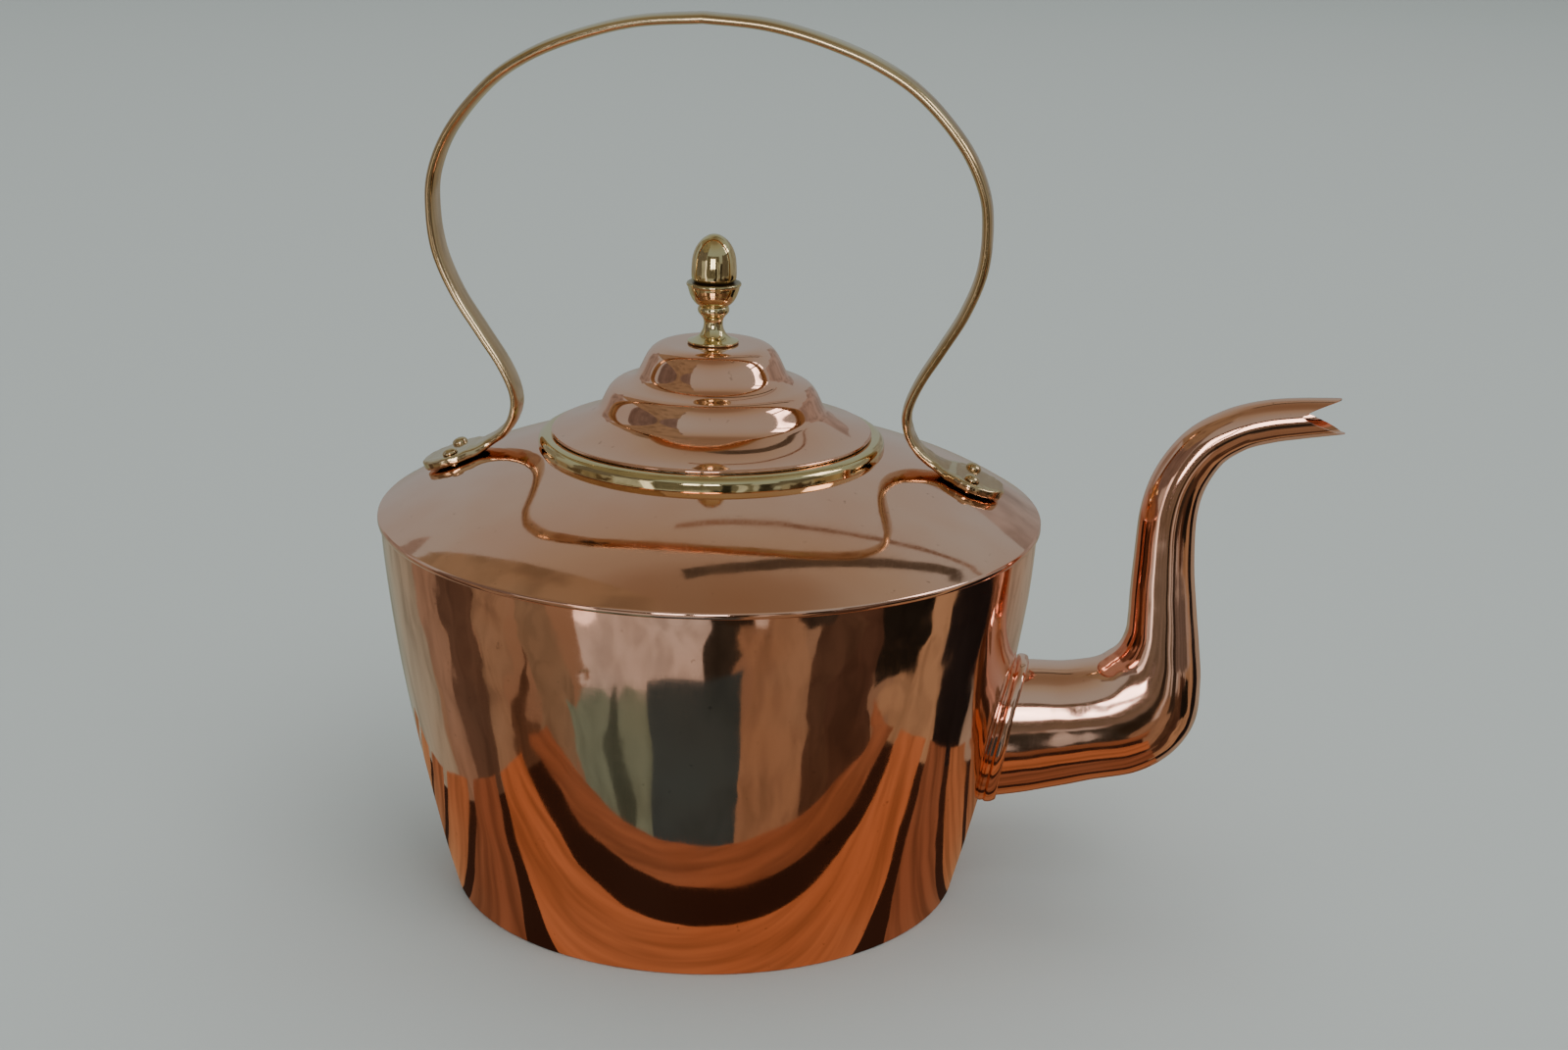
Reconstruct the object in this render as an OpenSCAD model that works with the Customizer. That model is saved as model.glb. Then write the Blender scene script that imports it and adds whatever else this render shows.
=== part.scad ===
// Large copper kettle with a lift-off lid, a swan-neck spout and a riveted brass bail handle.
// Origin: centre of the base, on the surface the kettle stands on. +Z is up, +X points to the spout.
// All lengths are millimetres.

/* [Body] */
// Outer radius of the base
base_r = 112.5; // [108:0.5:117]
// Outer radius of the wall where the shoulder sits on it
seam_r = 143; // [138:0.5:148]
// Height of the shoulder seam above the base
seam_z = 169.5; // [164:0.5:175]
// Thickness of the copper sheet
sheet_t = 1.2; // [1:0.1:1.4]
// Height of the base's flange inside the foot of the wall
base_flange_h = 4; // [3.5:0.25:6]

/* [Shoulder] */
// Height at which the shoulder surface runs into the neck
neck_foot_z = 198.9; // [196:0.1:202]
// Outer radius of the neck around the lid opening
neck_r = 67.5; // [65:0.5:70]
// Depth of the lip that laps over the top of the wall
lip_h = 3; // [2:0.5:5]

/* [Lid ring] */
// Radial width of the brass ring around the neck
ring_w = 7.5; // [6:0.5:9]
// Height of the top of the ring above the base
ring_top_z = 203; // [202.5:0.1:203.5]

/* [Lid] */
// Radius of the lid's rim
lid_r = 69.3; // [69:0.1:71]
// Radius of the foot of the lower tier
tier_1_r = 50.6; // [49:0.2:52]
// Radius of the foot of the upper tier
tier_2_r = 31.4; // [30.4:0.2:32]
// Height of the flat top of the lid above the base
lid_top_z = 242.4; // [240:0.2:245]
// Depth of the flange that drops into the neck
flange_h = 17; // [12:1:22]
// Radial clearance between the flange and the neck
flange_gap = 0.35; // [0.3:0.05:0.6]

/* [Finial] */
// Radius of the screwed stud through the finial
stud_r = 2.5; // [2:0.25:3]
// Distance across the flats of the stud's nut
nut_flats = 8; // [7:0.5:9]

/* [Spout] */
// Radial thickness of the collar around the spout's root
collar_t = 2.2; // [1.5:0.1:3]
// Length of the collar along the root
collar_l = 7.5; // [6:0.5:9]

/* [Handle] */
// Height of the strap's middle line at the top of the arch
arch_z = 379.5; // [376:0.5:384]
// Thickness of the strap
strap_t = 5; // [4:0.5:6]
// Width of the strap, front to back
strap_w = 17; // [14:1:20]
// Sideways shift of the hand-bent arch for each millimetre above its feet
arch_lean = 0.03; // [0:0.005:0.04]
// Distance from the kettle's axis to the rivets
foot_x = 112; // [110:0.5:114]
// Radius of the rounded foot
foot_r = 15.5; // [14:0.5:17]
// Distance between the two rivets of one foot
rivet_pitch = 19; // [17:0.5:20]
// Radius of a rivet's shank
rivet_r = 2; // [1.75:0.25:2.25]
// Radius of a rivet's domed head
rivet_head_r = 3.4; // [3:0.1:4]

/* [Hidden] */
$fn = 96;

copper = [0.80, 0.46, 0.33];
brass = [0.80, 0.64, 0.33];

wall_steps = 19;                       // conical bands of the curved wall above the base's flange
wall_h = seam_z - 1.6;                 // the wall ends just under the shoulder
shoulder_drop = neck_foot_z - seam_z;
shoulder_t = 1.4;                      // sheet thickness measured vertically on the slope
ring_r = neck_r + ring_w;
neck_top_z = ring_top_z - 0.4;
neck_fillet = 1.2;
lid_seat_gap = 0.3;                    // the rim hangs this far above the ring's crown
lid_rim_z = ring_top_z + lid_seat_gap + sheet_t;
flare_h = 8;                            // rise of the lid's flared brim
tier_1_z = lid_rim_z + flare_h;
tier_2_z = tier_1_z + 18.4;
step_r = 40.4;                          // top edge of the lower tier
step_z = tier_1_z + 12.5;
pin_gap = 0.03;                        // radial clearance of studs and rivets in their holes
foot_slope = 21;                       // slope of the shoulder under the handle's feet, degrees
foot_t = strap_t;
rivet_head_h = 2.4;
rove_r = 4.5;
rove_t = 1;
rove_drop = 0.3;                       // flat rove under the curved sheet
rove_z = -(shoulder_t + rove_drop + rove_t);
tail_r = 2.8;                          // peened end of a rivet
tail_h = 1.2;
washer_r = 8;
washer_t = 1;
nut_t = 4;

// ---------- helpers ----------
function steps(a, b, n) = [for (i = [0:n]) a + (b - a) * i / n];
function reversed(path) = [for (i = [len(path) - 1:-1:0]) path[i]];
function unit(v) = v / norm(v);

// Point at parameter t on the cubic through p1 and p2, with p0 and p3 outside it
function spline_point(p0, p1, p2, p3, t) =
    0.5 * (2 * p1 + (p2 - p0) * t + (2 * p0 - 5 * p1 + 4 * p2 - p3) * t * t
           + (3 * p1 - p0 - 3 * p2 + p3) * t * t * t);
// Smooth path through every point of a list, n steps from each point to the next
function spline(points, n) =
    let (last = len(points) - 1)
    concat([for (i = [0:last - 1], k = [0:n - 1])
                spline_point(points[max(i - 1, 0)], points[i], points[i + 1],
                             points[min(i + 2, last)], k / n)],
           [points[last]]);
// Cubic Bezier curve in n steps, without its first point
function bezier(a, b, c, d, n) =
    [for (i = [1:n]) let (t = i / n, s = 1 - t)
        s * s * s * a + 3 * s * s * t * b + 3 * s * t * t * c + t * t * t * d];
// Left-hand normal of a path at its point i
function path_normal(path, i) =
    let (d = unit(path[min(i + 1, len(path) - 1)] - path[max(i - 1, 0)])) [-d[1], d[0]];
// The same path moved sideways by a distance
function shifted(path, distance) =
    [for (i = [0:len(path) - 1]) path[i] + distance * path_normal(path, i)];

// ---------- body ----------
function wall_radius(z) = base_r + (seam_r - base_r) * (1 - pow(1 - z / seam_z, 1.5));
function shoulder_z(r) =
    let (u = max(r - neck_r, 0) / (seam_r - neck_r))
    neck_foot_z - shoulder_drop * (0.714 * u + 0.286 * pow(u, 3.3));

wall_outline = [for (z = concat([0], steps(base_flange_h, wall_h, wall_steps))) [wall_radius(z), z]];
wall_liner = [for (p = wall_outline) p - [sheet_t, 0]];

// Everything inside the outer face of the wall, grown outwards by a distance
module wall_solid(grow = 0) {
    rotate_extrude() polygon(concat([[0, 0]], [for (p = wall_outline) p + [grow, 0]], [[0, wall_h]]));
}

// Tall round-ended hole through the +X side of the wall, behind the spout's root
module spout_hole() {
    middle_z = 75;
    half_l = 9;
    hole_r = 17;
    start_x = 100;
    depth = 50;
    for (z = [middle_z - half_l, middle_z + half_l])
        translate([start_x, 0, z]) rotate([0, 90, 0]) cylinder(h = depth, r = hole_r);
    translate([start_x, -hole_r, middle_z - half_l]) cube([depth, 2 * hole_r, 2 * half_l]);
}

module body_wall() {
    color(copper) difference() {
        rotate_extrude() polygon(concat(wall_outline, reversed(wall_liner)));
        spout_hole();
    }
}

// Flat disc with a flange turned up inside the foot of the wall
module base_plate() {
    color(copper) rotate_extrude() polygon([
        [0, 0], wall_liner[0], wall_liner[1], wall_liner[1] - [sheet_t, 0],
        wall_liner[0] + [-sheet_t, sheet_t], [0, sheet_t]]);
}

// The rolled bead over the wall, the dome, and the neck turned up around the opening
neck_corner = [[neck_r + neck_fillet, shoulder_z(neck_r + neck_fillet)],
               [neck_r, shoulder_z(neck_r) + neck_fillet]];
module shoulder() {
    bead_r = 1.5;
    dome_r = concat(steps(seam_r - 1, ring_r, 16), [neck_r + neck_fillet]);
    outside = concat(
        [[seam_r + sheet_t, seam_z - lip_h]],
        [for (a = steps(0, 60, 4))
            [seam_r + sheet_t - bead_r * (1 - cos(a)), seam_z - bead_r * (1 - sin(a))]],
        [for (r = dome_r) [r, shoulder_z(r)]],
        [neck_corner[1], [neck_r, neck_top_z]]);
    inside = concat(
        [[neck_r - sheet_t, neck_top_z], [neck_r - sheet_t, shoulder_z(neck_r) + neck_fillet / 2]],
        [for (r = reversed(dome_r)) [r, shoulder_z(r) - shoulder_t]],
        [[seam_r, seam_z - shoulder_t], [seam_r, seam_z - lip_h]]);
    color(copper) difference() {
        rotate_extrude() polygon(concat(outside, inside));
        each_rivet() cylinder(h = 20, r = rivet_r + pin_gap, center = true);
    }
}

// Half-round brass band soldered around the neck; its underside lies on the shoulder
module lid_ring() {
    crown = [4.2, 3.7];
    color(brass) rotate_extrude() polygon(concat(
        [[ring_r, shoulder_z(ring_r)]],
        [for (a = steps(0, 90, 8))
            [ring_r - crown[0] * (1 - cos(a)), ring_top_z - crown[1] * (1 - sin(a))]],
        [[neck_r, ring_top_z], neck_corner[1], neck_corner[0]]));
}

// ---------- spout ----------
// Stations along the middle line: x, z, heading in degrees, half height, half width
spout_stations = [
    [110,    72,   5, 32.0, 23.0],
    [136,    75,   9, 30.0, 21.8],
    [150,    77,  11, 28.8, 21.0],
    [165,  79.5,  16, 27.2, 20.5],
    [181.3, 83.3, 23, 27.3, 20.0],
    [191.4, 89.7, 34, 26.9, 19.0],
    [198,   99,   46, 24.2, 17.8],
    [200.1, 111.8, 57, 20.0, 16.4],
    [199.4, 125,  69, 16.6, 15.0],
    [198.3, 139,  81, 14.4, 13.8],
    [197.5, 155,  90, 12.9, 12.8],
    [198.1, 177,  84, 12.0, 12.0],
    [202.3, 193,  69, 11.2, 11.2],
    [211.5, 206.8, 49, 10.2, 10.4],
    [224,   215,  26,  9.5,  9.8],
    [237,   219.2, 13, 9.2,  9.4],
    [251,   221.4,  8, 8.7,  9.0],
    [269,   223.2,  6, 7.6,  8.4]];
spout_sides = 24;
spout_rings = spline(spout_stations, 2);

function spout_ring(s, inset) =
    let (across = [-sin(s[2]), 0, cos(s[2])])
    [for (k = [0:spout_sides - 1]) let (a = 360 * k / spout_sides)
        [s[0], 0, s[1]] + across * (s[3] - inset) * cos(a) + [0, (s[4] - inset) * sin(a), 0]];
// Closed tube through the first n rings; a hollow one has a wall of the given thickness
module spout_tube(n, grow = 0, wall = 0) {
    m = spout_sides;
    outer = [for (i = [0:n - 1]) each spout_ring(spout_rings[i], -grow)];
    inner = [for (i = [0:n - 1]) each spout_ring(spout_rings[i], wall - grow)];
    skin = [for (i = [0:n - 2], k = [0:m - 1]) let (a = i * m + k, b = i * m + (k + 1) % m)
                each [[a, b, b + m], [a, b + m, a + m]]];
    top = (n - 1) * m;
    if (wall == 0)
        polyhedron(outer, concat(skin, [[for (k = [m - 1:-1:0]) k]], [[for (k = [0:m - 1]) top + k]]));
    else
        polyhedron(concat(outer, inner), concat(skin,
            [for (f = skin) [f[2] + n * m, f[1] + n * m, f[0] + n * m]],
            [for (k = [0:m - 1]) let (j = (k + 1) % m) each [[k, k + n * m, j], [j, k + n * m, j + n * m]]],
            [for (k = [0:m - 1]) let (j = (k + 1) % m)
                each [[top + k, top + j, top + k + n * m],
                      [top + j, top + j + n * m, top + k + n * m]]]));
}

// Curved V that gives the mouth its pointed upper and lower lips
module mouth_cut() {
    translate([0, 20, 0]) rotate([90, 0, 0]) linear_extrude(40) polygon(concat(
        [[250.5, 224]], bezier([250.5, 224], [254, 226.6], [260, 228.8], [268, 231], 6),
        [[280, 231], [280, 215.6]],
        bezier([268, 215.6], [259.5, 220.2], [253, 221], [250.5, 224], 6)));
}

module spout() {
    color(copper) difference() {
        spout_tube(len(spout_rings), wall = sheet_t);
        wall_solid();
        mouth_cut();
    }
}

// Band brazed around the root, fitted to the curve of the wall
module spout_collar() {
    root_rings = 9;
    color(copper) difference() {
        intersection() {
            spout_tube(root_rings, grow = collar_t);
            wall_solid(grow = collar_l);
        }
        wall_solid();
        spout_tube(root_rings, grow = 0.02);
    }
}

// ---------- handle ----------
// Middle line of the strap's right half: half width and height, from the crown to the foot
handle_line = [[0, arch_z], [26, arch_z - 2], [49, arch_z - 7.5], [72, 363], [91, 350.5], [108, 331],
               [116.5, 313], [118.5, 297], [116.5, 278], [109.5, 260], [99.5, 243.5], [90.5, 229],
               [85.6, 217], [86, 207.5], [90.5, 199.5], [99, 193.2], [foot_x, 188]];
function leaned(p, side) = [side * p[0] - arch_lean * max(p[1] - 190, 0), p[1]];
strap_half = spline(handle_line, 5);
strap_line = concat([for (p = reversed(strap_half)) leaned(p, -1)],
                    [for (i = [1:len(strap_half) - 1]) leaned(strap_half[i], 1)]);

// Places children in a foot's frame: X runs down the slope outwards, Z stands off the shoulder
module on_feet() {
    for (side = [0, 1])
        mirror([side, 0, 0]) translate([foot_x, 0, shoulder_z(foot_x)]) rotate([0, foot_slope, 0])
            children();
}
module each_rivet() {
    on_feet() for (y = [-0.5, 0.5]) translate([0, y * rivet_pitch, 0]) children();
}

module handle() {
    tail = 16;
    color(brass) difference() {
        union() {
            translate([0, strap_w / 2, 0]) rotate([90, 0, 0]) linear_extrude(strap_w)
                polygon(concat(shifted(strap_line, strap_t / 2),
                               reversed(shifted(strap_line, -strap_t / 2))));
            on_feet() linear_extrude(foot_t) {
                circle(r = foot_r);
                polygon([[-tail, -strap_w / 2], [0, -foot_r], [0, foot_r], [-tail, strap_w / 2]]);
            }
        }
        each_rivet() {
            cylinder(h = 40, r = rivet_r + pin_gap, center = true);
            // flat seat for the head where the strap runs out into the foot
            translate([0, 0, foot_t]) cylinder(h = rivet_head_h, r = rivet_head_r);
        }
    }
}

// Four rivets: a domed head on the foot, a shank, and a peened tail under the rove
module handle_rivets() {
    cap_r = (rivet_head_r * rivet_head_r + rivet_head_h * rivet_head_h) / (2 * rivet_head_h);
    color(brass) each_rivet() rotate_extrude() polygon(concat(
        [[0, rove_z - tail_h], [tail_r, rove_z - tail_h / 2], [tail_r, rove_z], [rivet_r, rove_z],
         [rivet_r, foot_t]],
        [for (a = steps(asin(rivet_head_r / cap_r), 0, 6))
            [cap_r * sin(a), foot_t + rivet_head_h - cap_r * (1 - cos(a))]]));
}

module rivet_roves() {
    color(copper) each_rivet() translate([0, 0, rove_z]) difference() {
        cylinder(h = rove_t, r = rove_r);
        translate([0, 0, -1]) cylinder(h = rove_t + 2, r = rivet_r + pin_gap);
    }
}

// ---------- lid ----------
// Outer face of the lid from its rim to the middle
flare = concat([[lid_r, lid_rim_z]],
    bezier([lid_r, lid_rim_z], [62.5, lid_rim_z + 1.5], [56.2, lid_rim_z + 4.4], [tier_1_r, tier_1_z], 12));
lid_outline = concat(flare,
    bezier([tier_1_r, tier_1_z], [46.4, tier_1_z + 2.7], [46.8, tier_1_z + 10.4], [step_r, step_z], 8),
    bezier([step_r, step_z], [36, step_z + 1.3], [33.2, step_z + 2.1], [tier_2_r, tier_2_z], 6),
    bezier([tier_2_r, tier_2_z], [28.6, tier_2_z + 5.6], [27.2, lid_top_z], [18.5, lid_top_z], 8),
    [[stud_r + pin_gap, lid_top_z]]);
lid_liner = shifted(lid_outline, sheet_t);

module lid_shell() {
    inside = [for (i = [0:len(lid_liner) - 1])
                i == 0 ? [lid_r, lid_rim_z - sheet_t]
                : i == len(lid_liner) - 1 ? [stud_r + pin_gap, lid_top_z - sheet_t] : lid_liner[i]];
    color(copper) rotate_extrude() polygon(concat(lid_outline, reversed(inside)));
}

// Straight flange soldered to the underside of the flare
module lid_flange() {
    flange_r = neck_r - sheet_t - flange_gap;
    bottom_z = lid_rim_z - sheet_t - flange_h;
    flare_liner = [for (i = [0:len(flare) - 1]) lid_liner[i]];
    top_r = concat([flange_r],
                   [for (p = flare_liner) if (p[0] < flange_r && p[0] > flange_r - sheet_t) p[0]],
                   [flange_r - sheet_t]);
    color(copper) rotate_extrude() polygon(concat(
        [[flange_r - sheet_t, bottom_z], [flange_r, bottom_z]],
        [for (r = top_r) [r, lookup(r, flare_liner)]]));
}

// ---------- finial ----------
pedestal_h = 26.6;
// Turned profiles: radius, height above the piece's own seat
pedestal_outline = [[10.8, 0], [11, 0.7], [10.3, 1.3], [8.2, 2.1], [6.4, 3.3], [5.2, 4.8], [4.4, 6.6],
                    [4.1, 8.6], [4.4, 10.4], [5.2, 11.8], [6.2, 12.9], [6.7, 14.1], [6.7, 15.3],
                    [6.3, 16.2], [7.5, 17], [8.9, 18.6], [10.1, 20.8], [10.9, 23.2], [11.3, 24.9],
                    [11.8, 25.5], [11.5, pedestal_h]];
acorn_outline = [[8.9, 0], [9.4, 0.4], [9.7, 1.2], [9.7, 5], [9.5, 8.6], [8.8, 12.6], [7.3, 15.9],
                 [5.2, 18.3], [2.8, 19.9], [0, 20.5]];
acorn_z = lid_top_z + pedestal_h;
stud_top_z = acorn_z + 12;              // the stud is screwed this far into the acorn
stud_tail = 1.2;                       // length of stud left below the nut
washer_z = lid_top_z - sheet_t - washer_t;
nut_z = washer_z - nut_t;

module finial_pedestal() {
    color(brass) difference() {
        translate([0, 0, lid_top_z])
            rotate_extrude() polygon(concat([[0, 0]], pedestal_outline, [[0, pedestal_h]]));
        translate([0, 0, lid_top_z - 1]) cylinder(h = pedestal_h + 2, r = stud_r + pin_gap);
    }
}

module finial_acorn() {
    color(brass) difference() {
        translate([0, 0, acorn_z]) rotate_extrude() polygon(concat([[0, 0]], acorn_outline));
        translate([0, 0, acorn_z - 1]) cylinder(h = stud_top_z - acorn_z + 1.5, r = stud_r + pin_gap);
    }
}

module finial_stud() {
    color(brass) translate([0, 0, nut_z - stud_tail])
        cylinder(h = stud_top_z - nut_z + stud_tail, r = stud_r);
}

module finial_washer() {
    color(brass) translate([0, 0, washer_z]) difference() {
        cylinder(h = washer_t, r = washer_r);
        translate([0, 0, -1]) cylinder(h = washer_t + 2, r = stud_r + pin_gap);
    }
}

module finial_nut() {
    color(brass) translate([0, 0, nut_z]) difference() {
        cylinder(h = nut_t, r = nut_flats / 2 / cos(30), $fn = 6);
        translate([0, 0, -1]) cylinder(h = nut_t + 2, r = stud_r + pin_gap);
    }
}

body_wall();
base_plate();
shoulder();
lid_ring();
spout_collar();
spout();
handle();
handle_rivets();
rivet_roves();
lid_shell();
lid_flange();
finial_pedestal();
finial_acorn();
finial_stud();
finial_washer();
finial_nut();
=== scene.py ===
"""Copper kettle, its lid, swan-neck spout and brass bail: the looks around the CAD frame."""

import math

import bpy
import numpy as np
from mathutils import Matrix, Vector, noise


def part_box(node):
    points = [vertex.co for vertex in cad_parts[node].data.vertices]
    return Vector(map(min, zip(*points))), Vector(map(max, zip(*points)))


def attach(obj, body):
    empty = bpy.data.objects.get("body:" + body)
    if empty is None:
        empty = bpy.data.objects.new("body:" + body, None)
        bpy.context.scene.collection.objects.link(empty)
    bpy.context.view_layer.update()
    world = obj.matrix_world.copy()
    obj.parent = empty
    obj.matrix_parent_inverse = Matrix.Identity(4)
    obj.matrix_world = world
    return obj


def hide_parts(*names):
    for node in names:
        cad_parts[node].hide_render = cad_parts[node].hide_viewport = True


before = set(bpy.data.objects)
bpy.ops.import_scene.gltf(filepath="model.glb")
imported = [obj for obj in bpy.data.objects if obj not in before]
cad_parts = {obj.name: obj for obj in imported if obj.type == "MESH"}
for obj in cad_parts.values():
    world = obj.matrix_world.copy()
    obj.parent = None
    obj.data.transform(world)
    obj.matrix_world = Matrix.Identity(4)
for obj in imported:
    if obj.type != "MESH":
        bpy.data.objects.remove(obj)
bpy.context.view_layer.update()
MM = 0.001


def new_object(name, data):
    """An object made of some data and put in the scene."""
    obj = bpy.data.objects.new(name, data)
    bpy.context.scene.collection.objects.link(obj)
    return obj


def clamp01(t):
    return max(0.0, min(1.0, t))


def smooth01(t):
    """Smooth step from 0 at t = 0 to 1 at t = 1."""
    t = clamp01(t)
    return t * t * (3 - 2 * t)


# ---------------------------------------------------------------- camera
# As fitted to the photo: metres, degrees, and millimetres for the lens and its sensor
CAMERA_PLACE = (0.1363, -1.0240, 0.4765)
CAMERA_TURNS = {"yaw": 5.79, "pitch": 16.98, "roll": 1.35}
LENS, SENSOR = 56.45, 36.0


def camera_basis(yaw, pitch, roll):
    """Right, up and back directions of a camera that looks along +Y before it is turned."""
    y, p, r = (math.radians(a) for a in (yaw, pitch, roll))
    ahead = Vector((-math.sin(y) * math.cos(p), math.cos(y) * math.cos(p), -math.sin(p)))
    right = Vector((math.cos(y), math.sin(y), 0))
    up = right.cross(ahead)
    return (
        math.cos(r) * right + math.sin(r) * up,
        math.cos(r) * up - math.sin(r) * right,
        -ahead,
    )


def make_camera():
    data = bpy.data.cameras.new("camera")
    data.sensor_width = SENSOR
    data.lens = LENS
    data.clip_start, data.clip_end = 0.05, 60.0
    cam = new_object("camera", data)
    turn = Matrix(camera_basis(**CAMERA_TURNS)).transposed().to_4x4()
    cam.matrix_world = Matrix.Translation(CAMERA_PLACE) @ turn
    bpy.context.scene.camera = cam


make_camera()


# ---------------------------------------------------------------- curves
def catmull(points, steps):
    """Smooth curve through every point; points are rows of numbers of any length."""
    p = np.array(points, float)
    last = len(p) - 1
    out = []
    for i in range(last):
        a, b, c, d = p[max(i - 1, 0)], p[i], p[i + 1], p[min(i + 2, last)]
        for k in range(steps):
            t = k / steps
            out.append(
                0.5
                * (
                    2 * b
                    + (c - a) * t
                    + (2 * a - 5 * b + 4 * c - d) * t * t
                    + (3 * b - a - 3 * c + d) * t**3
                )
            )
    out.append(p[last])
    return np.array(out)


def bezier(a, b, c, d, n):
    """Cubic Bezier in n steps, without its first point."""
    a, b, c, d = (np.array(v, float) for v in (a, b, c, d))
    t = (np.arange(1, n + 1) / n)[:, None]
    s = 1 - t
    return s**3 * a + 3 * s * s * t * b + 3 * s * t * t * c + t**3 * d


def rounded(points, radii, steps=5):
    """Closed outline with its corners rounded. A radius of 0 keeps the corner."""
    pts = [np.array(p, float) for p in points]
    out = []
    for i, (p, r) in enumerate(zip(pts, radii)):
        a, b = pts[i - 1], pts[(i + 1) % len(pts)]
        if r <= 0:
            out.append(p)
            continue
        u, v = a - p, b - p
        lu, lv = np.linalg.norm(u), np.linalg.norm(v)
        u, v = u / lu, v / lv
        half = math.acos(max(-1, min(1, float(u @ v)))) / 2
        cut = min(r / math.tan(half), 0.49 * lu, 0.49 * lv)
        start, end = p + u * cut, p + v * cut
        for k in range(steps + 1):
            t = k / steps
            out.append((1 - t) ** 2 * start + 2 * t * (1 - t) * p + t * t * end)
    return out


# ---------------------------------------------------------------- meshes
ON_AXIS = 1e-7


def build(name, verts, faces, sharp=40.0, slots=None):
    """Mesh object, smooth but for edges above an angle. slots holds the material slot of each face."""
    mesh = bpy.data.meshes.new(name)
    mesh.from_pydata([tuple(v) for v in verts], [], faces)
    if slots is not None:
        mesh.polygons.foreach_set("material_index", slots)
    mesh.polygons.foreach_set("use_smooth", [True] * len(mesh.polygons))
    mesh.update()
    mesh.set_sharp_from_angle(angle=math.radians(sharp))
    return new_object(name, mesh)


def band(lower, upper):
    """Faces between two rings of vertex numbers. A ring that repeats one number is a point."""
    faces = []
    for k in range(len(lower)):
        j = (k + 1) % len(lower)
        face = [lower[k], lower[j], upper[j], upper[k]]
        faces.append([v for n, v in enumerate(face) if v not in face[:n]])
    return faces


def lathe(name, outline, sides=256, sharp=40.0):
    """Turns a closed outline of (radius, height) about Z."""
    rings, verts = [], []
    for r, z in outline:
        if r < ON_AXIS:
            rings.append([len(verts)] * sides)
            verts.append((0.0, 0.0, z))
        else:
            rings.append(list(range(len(verts), len(verts) + sides)))
            for k in range(sides):
                a = 2 * math.pi * k / sides
                verts.append((r * math.cos(a), r * math.sin(a), z))
    faces = []
    for lower, upper in zip(rings, rings[1:] + rings[:1]):
        if lower[0] != lower[-1] or upper[0] != upper[-1]:
            faces += band(lower, upper)
    return build(name, verts, faces, sharp)


def line_with_tin(obj, covered):
    """Gives material slot 1, the tin, to each face for which covered(face) is true."""
    slots = [int(covered(p)) for p in obj.data.polygons]
    obj.data.polygons.foreach_set("material_index", slots)


def from_axis(p):
    return math.hypot(p.x, p.y)


def signed_volume(obj):
    """Volume of a closed mesh, negative where its faces look inwards."""
    mesh = obj.data
    mesh.calc_loop_triangles()
    co = np.empty(len(mesh.vertices) * 3)
    mesh.vertices.foreach_get("co", co)
    co = co.reshape(-1, 3)
    tri = np.empty(len(mesh.loop_triangles) * 3, int)
    mesh.loop_triangles.foreach_get("vertices", tri)
    a, b, c = (co[tri.reshape(-1, 3)[:, i]] for i in range(3))
    return float(np.einsum("ij,ij->i", a, np.cross(b, c)).sum() / 6)


def outward(obj):
    """Turns the faces of a closed mesh so that they look out."""
    if signed_volume(obj) < 0:
        obj.data.flip_normals()
    return obj


def hammered(obj, waves, mask=None):
    """Moves each point along its normal by smooth noise, fading with mask(point).

    waves holds (depth, size across, size up, seed).
    """
    mesh = obj.data
    normals = [v.normal.copy() for v in mesh.vertices]
    for v, n in zip(mesh.vertices, normals):
        p = v.co
        move = 0.0
        for depth, across, up, seed in waves:
            q = Vector((p.x / across + seed, p.y / across - 2 * seed, p.z / up + 3 * seed))
            move += depth * noise.noise(q)
        if mask is not None:
            move *= mask(p)
        v.co = p + n * move
    mesh.update()
    return obj


def pitted(obj, pits):
    """Presses small round dents into a mesh: each is (point, radius, depth)."""
    for centre, radius, depth in pits:
        c = Vector(centre)
        for v in obj.data.vertices:
            d = (v.co - c).length
            if d < 3 * radius:
                v.co = v.co - v.normal * depth * math.exp(-((d / radius) ** 2))
    obj.data.update()
    return obj


# ---------------------------------------------------------------- sizes, from the frame
def cad_radius(name, height, within=0.0006):
    """Largest distance from the Z axis among a CAD node's points near a height."""
    return max(
        math.hypot(v.co.x, v.co.y)
        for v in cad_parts[name].data.vertices
        if abs(v.co.z - height) < within
    )


SHEET = 1.2 * MM      # thickness of the copper
HAIR = 0.02 * MM      # gap left where two pieces lie on each other
LID_PLAY = 0.35 * MM  # between the lid's flange and the neck
wall_low, wall_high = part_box("body_wall")
shoulder_low, shoulder_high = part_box("shoulder")
ring_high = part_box("lid_ring")[1]
lid_low, lid_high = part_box("lid_shell")
flange_low, flange_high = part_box("lid_flange")
pedestal_low, pedestal_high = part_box("finial_pedestal")
acorn_low, acorn_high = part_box("finial_acorn")

# Radii and heights of the body: foot, crease (seam) under the shoulder's lip, its bead, and the neck
BASE_R = cad_radius("body_wall", wall_low.z)
SEAM_R = wall_high.y
LIP_Z = shoulder_low.z
SEAM_Z = LIP_Z + 3 * MM
BEAD_R = shoulder_high.y
NECK_R = flange_high.y + LID_PLAY + SHEET
NECK_TOP = shoulder_high.z
NECK_FOOT = NECK_TOP - 3.7 * MM
SHOULDER_DROP = NECK_FOOT - SEAM_Z
SPOUT_MID_Z = 0.075

# Unevenness, as waves of (depth, size across, size up, seed), all in metres but the seed
PLANISHED = [(0.30 * MM, 0.030, 0.048, 1.7), (0.10 * MM, 0.013, 0.022, 5.1)]
DENTED = [(0.34 * MM, 0.0125, 0.019, 3.9), (0.10 * MM, 0.006, 0.009, 7.3)]
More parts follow.
